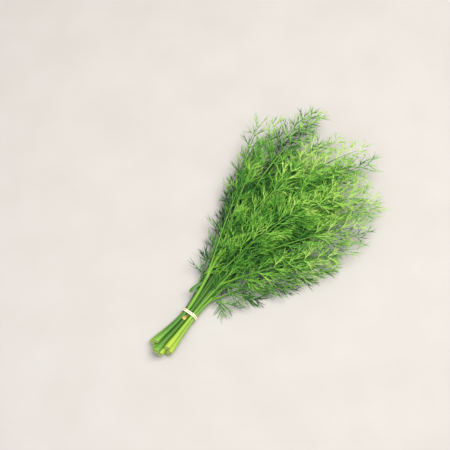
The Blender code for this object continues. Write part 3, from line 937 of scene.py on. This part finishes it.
@dataclass
class Remnants:
    """What stripped leaves left on the stems: a torn sheath and the scar of a cut stalk."""

    sides: int = 20
    rings: int = 30
    scar_half_wide: float = 2.2 * MM

    def strip(
        self, route: np.ndarray, across: Vector, half_wide: np.ndarray, half_thick: np.ndarray,
        tint: np.ndarray, bared: np.ndarray,
    ) -> Surface:
        """A strip with elliptical rings along a route.

        Args:
            route: The rings' centres.
            across: The direction of its width.
            half_wide: Half its width at each ring.
            half_thick: Half its thickness at each ring.
            tint: How light it is at each ring.
            bared: How much bare tissue shows at each ring.

        Returns:
            The closed strip.
        """
        along = unit(np.gradient(route, axis=0))
        wide = np.array(across) - (along @ np.array(across))[:, None] * along
        wide = unit(wide)
        square = np.cross(along, wide)
        points = tube_points(
            route[None], wide[None], square[None], half_wide[None], half_thick[None], self.sides,
            route[None, [0, -1]],
        )
        angle = ring_angles(self.sides)
        run = np.linalg.norm(route - route[0], axis=-1)
        grain = np.stack([
            (half_wide[:, None] * np.cos(angle)).ravel(),
            (half_thick[:, None] * np.sin(angle)).ravel(),
            np.repeat(run, self.sides),
        ], -1)
        return Surface(points, tube_triangles(1, len(route), self.sides), {
            Mark.TINT: np.concatenate([np.repeat(tint, self.sides), tint[[0, -1]]]),
            Mark.BARED: np.concatenate([np.repeat(bared, self.sides), bared[[0, -1]]]),
            Mark.GRAIN: np.concatenate([grain, np.zeros((2, 3))]),
        })

    def torn_sheath(self, stem: Stem) -> Surface:
        """The sheath of a stripped leaf: a strip from the stem that curves back and ends torn.

        Its route is root + share * end, bowed by sin(pi * share) times 1.2 mm to +Y and 1.0 mm up. Its
        half width rises from 1.6 mm to 2.5 mm, and its half thickness falls from 0.75 mm to 0.5 mm. Over
        the last fifth both fall to a blunt tip, as the square root of what is left.
        """
        share = np.linspace(0, 1, self.rings)
        root = np.array(stem.centre(TORN_SHEATH.root_x))
        route = root + share[:, None] * np.array(TORN_SHEATH.end)
        route[:, 1] += 1.2 * MM * np.sin(np.pi * share)
        route[:, 2] += 1.0 * MM * np.sin(np.pi * share)
        end = np.sqrt(np.clip((1.02 - share) / 0.2, 0, 1))
        half_wide = (1.6 + 0.9 * share) * MM * end
        half_thick = (0.75 - 0.25 * share) * MM * end
        return self.strip(
            route, SIDEWAYS, half_wide, half_thick, 0.2 + 0.1 * share, np.clip((share - 0.93) / 0.1, 0, 0.6)
        )

    def leaf_scar(self, stem: Stem) -> Surface:
        """The base of a stalk cut off short: a low pad on the stem with a bare end.

        Its route runs along the top of the stem below the band, and its half width is 2.2 mm times the
        square root of 1 - (2 * share - 1)^4, so that it is an oval with full ends.
        """
        share = np.linspace(0, 1, self.rings)
        root = np.array(stem.centre(LEAF_SCAR.root_x))
        top = root + np.array([0.0, 0.6 * MM, stem.radius(LEAF_SCAR.root_x) + 0.15 * MM])
        route = top + np.stack([(2.8 - 6.2 * share) * MM, 0.4 * MM * share, 0.4 * MM * share], -1)
        oval = np.clip(1 - (2 * share - 1) ** 4, 0.004, 1) ** 0.5
        return self.strip(
            route, SIDEWAYS, self.scar_half_wide * oval, (0.6 + 0.3 * share) * MM * oval,
            0.5 + 0 * share, share,
        )


@dataclass
class RubberBand:
    """The rubber band: a flat strand that goes round twice and passes under itself below the bunch."""

    steps: int = 160
    sides: int = 16
    half_share: float = 0.46
    wide_power: float = 0.8
    thick_power: float = 0.85

    def outline(self, offset: float, share: np.ndarray) -> tuple[np.ndarray, np.ndarray]:
        """The outline at an offset round the six outer stems, in the tie's plane.

        It has straight runs, and arcs about the stems' centres. It starts at the middle of the top and
        goes round by +Y.

        Args:
            offset: The distance from the stems' centres.
            share: Parts of the outline's length.

        Returns:
            The points there, and their outward angles.
        """
        half_row = STEM_PITCH
        half_middle = 1.5 * STEM_PITCH
        low, middle, high = (LOWEST_STEM_Z + row * ROW_PITCH for row in range(3))
        y = np.array([half_row, half_middle, half_row, -half_row, -half_middle, -half_row])
        z = np.array([high, middle, low, low, middle, high])
        lean = math.atan2(half_middle - half_row, ROW_PITCH)
        right = math.pi / 2
        normals = np.array([right, lean, -lean, -right, lean - 2 * right, -lean - 2 * right, -3 * right])
        arcs = (normals[:-1] - normals[1:]) * offset
        runs = np.hypot(np.roll(y, -1) - y, np.roll(z, -1) - z)
        lengths = np.stack([arcs, runs], -1).ravel()
        ends = np.concatenate([[0], np.cumsum(lengths)])
        distance = (share * ends[-1] - half_row) % ends[-1]
        piece = np.minimum(np.searchsorted(ends, distance, side="right") - 1, 11)
        left = distance - ends[piece]
        corner = piece // 2
        on_arc = piece % 2 == 0
        angle = np.where(on_arc, normals[corner] - left / offset, normals[corner + 1])
        forward = np.where(on_arc, 0.0, left)
        out_y = y[corner] + offset * np.cos(angle) + forward * np.sin(angle)
        out_z = z[corner] + offset * np.sin(angle) - forward * np.cos(angle)
        return np.stack([0 * out_y, out_y, out_z], -1), angle

    def surface(self) -> Surface:
        """The strand as a rounded section carried twice round the outline.

        Its shift along the bunch is side shift * tanh(3 * cos(turned / 2)) / tanh(3), so that the two
        turns lie side by side and change places below, where one hops over the other on a smooth ramp.
        The section's half width is half share * the band's width * cos(angle)^0.8 and its half thickness
        half the band's thickness * sin(angle)^0.85, each with its sign kept, which fills its corners.

        Returns:
            The closed ring.
        """
        turned = 4 * np.pi * np.arange(self.steps) / self.steps
        shift = BAND_SIDE_SHIFT * np.tanh(3 * np.cos(turned / 2)) / math.tanh(3)
        ramp = np.clip((BAND_CROSSING + BAND_RAMP - np.abs(turned - 3 * np.pi)) / BAND_RAMP, 0, 1)
        hop = (BAND_THICK + BAND_LAY_GAP) * ramp ** 2 * (3 - 2 * ramp)
        offset = TIE_RADIUS + BAND_CLEARANCE + BAND_THICK / 2
        centres, normal = self.outline(offset, turned / (2 * np.pi) % 1)
        out = np.stack([0 * normal, np.cos(normal), np.sin(normal)], -1)
        centres = centres + hop[:, None] * out + shift[:, None] * np.array([1.0, 0, 0])
        angle = ring_angles(self.sides)
        across = np.sign(np.cos(angle)) * np.abs(np.cos(angle)) ** self.wide_power
        wide = self.half_share * BAND_WIDE * across
        thick = BAND_THICK / 2 * np.sign(np.sin(angle)) * np.abs(np.sin(angle)) ** self.thick_power
        rings = centres[:, None] + thick[:, None] * out[:, None] + wide[:, None] * np.array([1.0, 0, 0])
        step, side = np.meshgrid(np.arange(self.steps), np.arange(self.sides), indexing="ij")
        a = (step * self.sides + side).ravel()
        b = (step * self.sides + (side + 1) % self.sides).ravel()
        c = ((step + 1) % self.steps * self.sides + side).ravel()
        d = ((step + 1) % self.steps * self.sides + (side + 1) % self.sides).ravel()
        triangles = np.concatenate([np.stack([a, d, b], -1), np.stack([a, c, d], -1)])
        section = np.stack([wide, thick], -1)
        grain = np.concatenate([
            np.broadcast_to(section, (self.steps, self.sides, 2)),
            np.broadcast_to(0.03 * np.cos(turned / 2)[:, None, None], (self.steps, self.sides, 1)),
        ], -1)
        return Surface(rings.reshape(-1, 3), triangles, {Mark.GRAIN: grain.reshape(-1, 3)})


def linear(code: str) -> tuple[float, float, float, float]:
    """A colour written as sRGB hex turned to the linear values that a shader reads."""
    channels = [int(code[i:i + 2], 16) / 255 for i in (0, 2, 4)]
    bent = [c / 12.92 if c <= 0.04045 else ((c + 0.055) / 1.055) ** 2.4 for c in channels]
    return (bent[0], bent[1], bent[2], 1.0)


def add_node(
    tree: bpy.types.NodeTree, kind: str, inputs: dict | None = None,
    stops: list[tuple[float, str]] | None = None, **settings: object,
) -> bpy.types.Node:
    """Adds a node with its settings and links.

    Args:
        tree: The node tree.
        kind: The node's type.
        inputs: Values by input name or number. A socket is linked, and any other value is set.
        stops: For a colour ramp, its places in rising order and their hex colours.
        settings: The node's own properties.

    Returns:
        The node.
    """
    node = tree.nodes.new(kind)
    for name, value in settings.items():
        setattr(node, name, value)
    for key, value in (inputs or {}).items():
        if isinstance(value, bpy.types.NodeSocket):
            tree.links.new(value, node.inputs[key])
        else:
            node.inputs[key].default_value = value
    for i, (place, code) in enumerate(stops or []):
        if i >= 2:
            node.color_ramp.elements.new(place)
        node.color_ramp.elements[i].position = place
        node.color_ramp.elements[i].color = linear(code)
    return node


def blank_material(name: str) -> tuple[bpy.types.Material, bpy.types.NodeTree, bpy.types.Node]:
    """A new material with its node tree and its Principled shader."""
    material = bpy.data.materials.new(name)
    material.use_nodes = True
    tree = material.node_tree
    return material, tree, tree.nodes["Principled BSDF"]


@dataclass(frozen=True)
class FreshDillLeaf:
    """Living dill leaf, grown green tissue under a thin wax.

    The tissue gives it a mottled green that differs from leaf to leaf, and the wax a soft satin sheen.
    """

    deep: str = "123A1A"
    shaded: str = "3F862C"
    green: str = "80C442"
    young: str = "BCE070"
    roughness: float = 0.46
    mottle: float = 6 * MM
    patch: float = 26 * MM
    mottling: float = 0.34
    patching: float = 0.9
    darkening: float = 0.62

    def material(self) -> bpy.types.Material:
        """The leaf's tint, varied by a fine noise and a broad one, less their mean."""
        material, tree, shader = blank_material("fresh dill leaf")
        place = add_node(tree, "ShaderNodeTexCoord").outputs["Object"]
        noise = add_node(
            tree, "ShaderNodeTexNoise", {"Vector": place, "Scale": 1 / self.mottle, "Detail": 3.0}
        )
        patches = add_node(
            tree, "ShaderNodeTexNoise", {"Vector": place, "Scale": 1 / self.patch, "Detail": 1.0}
        )
        tint = add_node(tree, "ShaderNodeAttribute", attribute_name=Mark.TINT.value).outputs["Fac"]
        varied = add_node(
            tree, "ShaderNodeMath", {0: noise.outputs["Fac"], 1: self.mottling, 2: tint},
            operation="MULTIPLY_ADD",
        )
        patched = add_node(
            tree, "ShaderNodeMath", {0: patches.outputs["Fac"], 1: self.patching, 2: varied.outputs[0]},
            operation="MULTIPLY_ADD",
        )
        shifted = add_node(
            tree, "ShaderNodeMath", {0: patched.outputs[0], 1: self.darkening}, operation="SUBTRACT"
        )
        # The tint that the ramp reads carries painted shade as well as the leaves' own green: lower rows,
        # leaf roots and thread bases fall towards the deep and shaded stops
        ramp = add_node(
            tree, "ShaderNodeValToRGB", {"Fac": shifted.outputs[0]},
            stops=[(0.0, self.deep), (0.30, self.shaded), (0.62, self.green), (1.0, self.young)],
        )
        gloss = add_node(
            tree, "ShaderNodeMapRange",
            {
                "Value": noise.outputs["Fac"],
                "To Min": self.roughness - 0.06,
                "To Max": self.roughness + 0.08,
            },
        )
        tree.links.new(ramp.outputs["Color"], shader.inputs["Base Color"])
        tree.links.new(gloss.outputs[0], shader.inputs["Roughness"])
        shader.inputs["IOR"].default_value = 1.42
        return material


@dataclass(frozen=True)
class DillStem:
    """Living dill stem, grown and cut, with fine ribs under a waxy skin.

    The ribs give it lighter and darker lines along its length, and the wax narrow soft highlights.
    """

    deep: str = "1C4612"
    green: str = "487C24"
    light: str = "70A42E"
    yellow: str = "9EBA30"
    bared_pale: str = "C9D88A"
    bared_green: str = "8FB045"
    roughness: float = 0.36
    streak: float = 0.9 * MM
    streak_length: float = 24 * MM
    streaking: float = 0.62
    darkening: float = 0.31

    def material(self) -> bpy.types.Material:
        """Streaks along the grain over the stem's tint, with pale tissue where it is cut."""
        material, tree, shader = blank_material("dill stem")
        grain = add_node(tree, "ShaderNodeAttribute", attribute_name=Mark.GRAIN.value).outputs["Vector"]
        stretch = add_node(
            tree, "ShaderNodeMapping",
            {"Vector": grain, "Scale": (1 / self.streak, 1 / self.streak, 1 / self.streak_length)},
        )
        streaks = add_node(
            tree, "ShaderNodeTexNoise", {"Vector": stretch.outputs[0], "Scale": 1.0, "Detail": 2.5}
        ).outputs["Fac"]
        tint = add_node(tree, "ShaderNodeAttribute", attribute_name=Mark.TINT.value).outputs["Fac"]
        varied = add_node(
            tree, "ShaderNodeMath", {0: streaks, 1: self.streaking, 2: tint}, operation="MULTIPLY_ADD"
        )
        shifted = add_node(
            tree, "ShaderNodeMath", {0: varied.outputs[0], 1: self.darkening}, operation="SUBTRACT"
        )
        ramp = add_node(
            tree, "ShaderNodeValToRGB", {"Fac": shifted.outputs[0]},
            stops=[(0.05, self.deep), (0.35, self.green), (0.66, self.light), (0.95, self.yellow)],
        )
        pith = add_node(
            tree, "ShaderNodeValToRGB", {"Fac": streaks},
            stops=[(0.35, self.bared_green), (0.65, self.bared_pale)],
        )
        bared = add_node(tree, "ShaderNodeAttribute", attribute_name=Mark.BARED.value).outputs["Fac"]
        colour = add_node(
            tree, "ShaderNodeMix", {"Factor": bared, "A": ramp.outputs[0], "B": pith.outputs[0]},
            data_type="RGBA",
        )
        tree.links.new(colour.outputs["Result"], shader.inputs["Base Color"])
        gloss = add_node(
            tree, "ShaderNodeMapRange",
            {"Value": streaks, "To Min": self.roughness - 0.06, "To Max": self.roughness + 0.12},
        )
        tree.links.new(gloss.outputs[0], shader.inputs["Roughness"])
        bump = add_node(
            tree, "ShaderNodeBump", {"Height": streaks, "Strength": 0.35, "Distance": 0.12 * MM}
        )
        tree.links.new(bump.outputs[0], shader.inputs["Normal"])
        shader.inputs["IOR"].default_value = 1.42
        return material


@dataclass(frozen=True)
class DriedLeafScar:
    """The dried wound of a cut leaf stalk, corky and matt.

    The drying gives it a tan colour, paler where the cut is freshest.
    """

    tan: str = "7E7430"
    pale: str = "C2B866"
    roughness: float = 0.75
    speckle: float = 0.8 * MM
    speckling: float = 0.4

    def material(self) -> bpy.types.Material:
        """Tan to pale by how bare the tissue is, with fine speckles."""
        material, tree, shader = blank_material("dried leaf scar")
        place = add_node(tree, "ShaderNodeTexCoord").outputs["Object"]
        speckles = add_node(
            tree, "ShaderNodeTexNoise", {"Vector": place, "Scale": 1 / self.speckle, "Detail": 2.0}
        ).outputs["Fac"]
        bared = add_node(tree, "ShaderNodeAttribute", attribute_name=Mark.BARED.value).outputs["Fac"]
        level = add_node(
            tree, "ShaderNodeMath", {0: speckles, 1: self.speckling, 2: bared}, operation="MULTIPLY_ADD"
        )
        ramp = add_node(
            tree, "ShaderNodeValToRGB", {"Fac": level.outputs[0]},
            stops=[(0.45, self.tan), (0.98, self.pale)],
        )
        tree.links.new(ramp.outputs[0], shader.inputs["Base Color"])
        shader.inputs["Roughness"].default_value = self.roughness
        bump = add_node(tree, "ShaderNodeBump", {"Height": speckles, "Strength": 0.4, "Distance": 0.15 * MM})
        tree.links.new(bump.outputs[0], shader.inputs["Normal"])
        return material


@dataclass(frozen=True)
class NaturalRubber:
    """Natural latex rubber, extruded and cut, unfilled and slightly powdery.

    The latex gives it a warm cream colour, and the cutting fine lines along the strand.
    """

    cream: str = "F8F5DC"
    shaded: str = "E2DCB2"
    roughness: float = 0.55
    line: float = 0.25 * MM
    line_length: float = 15 * MM

    def material(self) -> bpy.types.Material:
        """Cream with fine lines along the grain."""
        material, tree, shader = blank_material("natural latex rubber")
        grain = add_node(tree, "ShaderNodeAttribute", attribute_name=Mark.GRAIN.value).outputs["Vector"]
        stretch = add_node(
            tree, "ShaderNodeMapping",
            {"Vector": grain, "Scale": (1 / self.line, 1 / self.line, 1 / self.line_length)},
        )
        lines = add_node(
            tree, "ShaderNodeTexNoise", {"Vector": stretch.outputs[0], "Scale": 1.0, "Detail": 2.0}
        ).outputs["Fac"]
        ramp = add_node(
            tree, "ShaderNodeValToRGB", {"Fac": lines}, stops=[(0.30, self.shaded), (0.55, self.cream)]
        )
        tree.links.new(ramp.outputs[0], shader.inputs["Base Color"])
        shader.inputs["Roughness"].default_value = self.roughness
        shader.inputs["IOR"].default_value = 1.52
        bump = add_node(tree, "ShaderNodeBump", {"Height": lines, "Strength": 0.3, "Distance": 0.08 * MM})
        tree.links.new(bump.outputs[0], shader.inputs["Normal"])
        return material


@dataclass(frozen=True)
class UncoatedPaper:
    """Uncoated paper, pressed and unglazed, for the floor.

    The fibres give it a matt warm white with a faint cloudiness.
    """

    white: str = "BFBCB9"
    cloud: str = "BBB7B4"
    roughness: float = 0.9
    cloud_size: float = 60 * MM

    def material(self) -> bpy.types.Material:
        """Warm white, faintly clouded."""
        material, tree, shader = blank_material("uncoated paper")
        place = add_node(tree, "ShaderNodeTexCoord").outputs["Object"]
        clouds = add_node(
            tree, "ShaderNodeTexNoise", {"Vector": place, "Scale": 1 / self.cloud_size, "Detail": 4.0}
        ).outputs["Fac"]
        ramp = add_node(
            tree, "ShaderNodeValToRGB", {"Fac": clouds}, stops=[(0.3, self.cloud), (0.7, self.white)]
        )
        tree.links.new(ramp.outputs[0], shader.inputs["Base Color"])
        shader.inputs["Roughness"].default_value = self.roughness
        return material


def add_piece(
    name: str, surface: Surface, material: bpy.types.Material, node: str,
    sharp_angle: float = math.radians(50),
) -> None:
    """Puts a surface into the scene as a piece that stands for a node of the model.

    Args:
        name: The piece's name.
        surface: Its mesh and marks.
        material: Its finish.
        node: The node that it replaces.
        sharp_angle: Edges sharper than this stay sharp when the piece is shaded smooth.
    """
    mesh = bpy.data.meshes.new(name)
    count = len(surface.triangles)
    mesh.vertices.add(len(surface.points))
    mesh.vertices.foreach_set("co", surface.points.astype(np.float32).ravel())
    mesh.loops.add(3 * count)
    mesh.loops.foreach_set("vertex_index", surface.triangles.astype(np.int32).ravel())
    mesh.polygons.add(count)
    mesh.polygons.foreach_set("loop_start", np.arange(0, 3 * count, 3, dtype=np.int32))
    mesh.update(calc_edges=True)
    for mark, values in surface.marks.items():
        kind, field = ("FLOAT", "value") if values.ndim == 1 else ("FLOAT_VECTOR", "vector")
        attribute = mesh.attributes.new(mark.value, kind, "POINT")
        attribute.data.foreach_set(field, values.astype(np.float32).ravel())
    mesh.shade_smooth()
    mesh.set_sharp_from_angle(angle=sharp_angle)
    mesh.materials.append(material)
    piece = bpy.data.objects.new(name, mesh)
    bpy.context.scene.collection.objects.link(piece)
    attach(piece, "root")
    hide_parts(node)
    logging.info("%s: %d triangles", name, count)


def leaf_tint(stem: Stem, leaf: Leaf, draw: np.random.Generator) -> float:
    """How light a leaf is: by its row, with painted shade on the lower rows, less near one bearing, and a
    little by chance.

    Args:
        stem: The stem that bears it.
        leaf: The leaf.
        draw: The source of chance.

    Returns:
        Its tint.
    """
    tip = leaf.centre(1.0)
    aside = (math.atan2(tip.y, tip.x) - DARK_BEARING) / DARK_WIDTH
    shade = ROW_SHADED_LEAF_TINTS[stem.row] - DARK_SHADE * math.exp(-aside ** 2)
    return shade + LEAF_TINT_SPREAD * draw.standard_normal()


@dataclass
class Bunch:
    """The whole bunch: leafy stems, remnants of stripped leaves, and the band."""

    skeleton: Skeleton
    seed: int = 5
    rib_lighter: float = 0.08
    leaf_finish: FreshDillLeaf = FreshDillLeaf()
    stem_finish: DillStem = DillStem()
    scar_finish: DriedLeafScar = DriedLeafScar()
    band_finish: NaturalRubber = NaturalRubber()

    def build(self) -> None:
        """Makes every piece."""
        draw = np.random.default_rng(self.seed)
        leaf_green = self.leaf_finish.material()
        stem_green = self.stem_finish.material()
        stalks = Stalks()
        foliage = Foliage(draw)
        for i, (stem, leaves) in enumerate(zip(self.skeleton.stems, self.skeleton.leaves)):
            number = f"{i + 1:02d}"
            stem_surface = stalks.stem(stem, leaves, CUT_TINTS[i], STEM_TINTS[i], draw)
            # The midribs take part of their leaves' row tint, so the painted shade of the lower rows darkens
            # them too
            rib_tint = 0.3 * STEM_TINTS[i] + 0.4 * ROW_SHADED_LEAF_TINTS[stem.row] + self.rib_lighter
            stalk_surface = joined([stem_surface, stalks.midribs(leaves, rib_tint)])
            add_piece(f"stalks_{number}", stalk_surface, stem_green, stem.name)
            blades = [foliage.blade(leaf, leaf_tint(stem, leaf, draw)) for leaf in leaves]
            add_piece(f"leaves_{number}", joined(blades), leaf_green, stem.name, math.pi)
        self.add_remnants(stem_green)
        rubber = self.band_finish.material()
        add_piece("wound_band", RubberBand().surface(), rubber, "rubber_band")

    def add_remnants(self, stem_green: bpy.types.Material) -> None:
        """Makes the torn sheath and the leaf scar on the stems that bear them."""
        remnants = Remnants()
        at = {(stem.row, stem.column): stem for stem in self.skeleton.stems}
        torn = at[TORN_SHEATH.row, TORN_SHEATH.column]
        scarred = at[LEAF_SCAR.row, LEAF_SCAR.column]
        add_piece("torn_sheath", remnants.torn_sheath(torn), stem_green, torn.name)
        scar = self.scar_finish.material()
        add_piece("leaf_scar", remnants.leaf_scar(scarred), scar, scarred.name)


@dataclass
class Studio:
    """The pale floor, the soft light and the camera, which looks down on the bunch."""

    elevation: float = math.radians(68)
    heading: float = math.radians(35.5)
    distance: float = 1.2
    pixel: float = 1.1 * MM
    picture: int = 450
    tie_pixel: tuple[float, float] = (189.5, 313.0)
    tie_point: tuple[float, float, float] = (0.0, 0.0, 13 * MM)
    sensor: float = 36.0
    floor_size: float = 6.0
    light_aim: tuple[float, float, float] = (0.1, 0.0, 0.02)
    surround: str = "F7F5F1"
    surround_strength: float = 0.43

    def add_floor(self) -> None:
        """A large flat square under the bunch."""
        half = self.floor_size / 2
        mesh = bpy.data.meshes.new("floor")
        corners = [(-half, -half, 0), (half, -half, 0), (half, half, 0), (-half, half, 0)]
        mesh.from_pydata(corners, [], [(0, 1, 2, 3)])
        mesh.materials.append(UncoatedPaper().material())
        floor = bpy.data.objects.new("floor", mesh)
        bpy.context.scene.collection.objects.link(floor)

    def add_camera(self) -> None:
        """The camera, set so that the tie falls on its pixel at the pixel's real size."""
        ahead = Vector((math.cos(self.heading), math.sin(self.heading), 0))
        look = math.cos(self.elevation) * ahead - math.sin(self.elevation) * UPWARD
        right = look.cross(UPWARD).normalized()
        above = right.cross(look)
        half = self.picture / 2
        aside = (half - self.tie_pixel[0]) * self.pixel
        up = (self.tie_pixel[1] - half) * self.pixel
        data = bpy.data.cameras.new("camera")
        data.sensor_width = self.sensor
        data.lens = self.sensor * self.distance / (self.picture * self.pixel)
        camera = bpy.data.objects.new("camera", data)
        camera.location = Vector(self.tie_point) - self.distance * look + aside * right + up * above
        camera.rotation_euler = look.to_track_quat("-Z", "Y").to_euler()
        bpy.context.scene.collection.objects.link(camera)
        bpy.context.scene.camera = camera

    def add_light(self, name: str, place: Vector, size: float, power: float, code: str) -> None:
        """A square soft light that faces the bunch.

        Args:
            name: Its name.
            place: Where it hangs.
            size: Its side.
            power: Its power in watts.
            code: Its colour.
        """
        data = bpy.data.lights.new(name, "AREA")
        data.size = size
        data.energy = power
        data.color = linear(code)[:3]
        light = bpy.data.objects.new(name, data)
        light.location = place
        light.rotation_euler = (Vector(self.light_aim) - place).to_track_quat("-Z", "Y").to_euler()
        bpy.context.scene.collection.objects.link(light)

    def add_lights(self) -> None:
        """A large light over the leaves, a weaker one over the cut ends, and a pale surround."""
        self.add_light("key", Vector((0.40, -0.25, 1.45)), 1.0, 29.0, "FFFCF6")
        self.add_light("fill", Vector((-0.8, 0.1, 1.1)), 1.2, 7.0, "F8FBFF")
        world = bpy.data.worlds.new("surround")
        world.use_nodes = True
        back = world.node_tree.nodes["Background"]
        back.inputs["Color"].default_value = linear(self.surround)
        back.inputs["Strength"].default_value = self.surround_strength
        bpy.context.scene.world = world

    def build(self) -> None:
        """Sets up the studio."""
        self.add_floor()
        self.add_camera()
        self.add_lights()
        bpy.context.scene.view_settings.view_transform = "Standard"
        logging.info("studio ready")


def main() -> None:
    """Loads the model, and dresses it."""
    logging.basicConfig(level=logging.INFO, format="%(message)s")
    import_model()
    Bunch(Skeleton()).build()
    Studio().build()


if __name__ == "__main__":
    main()
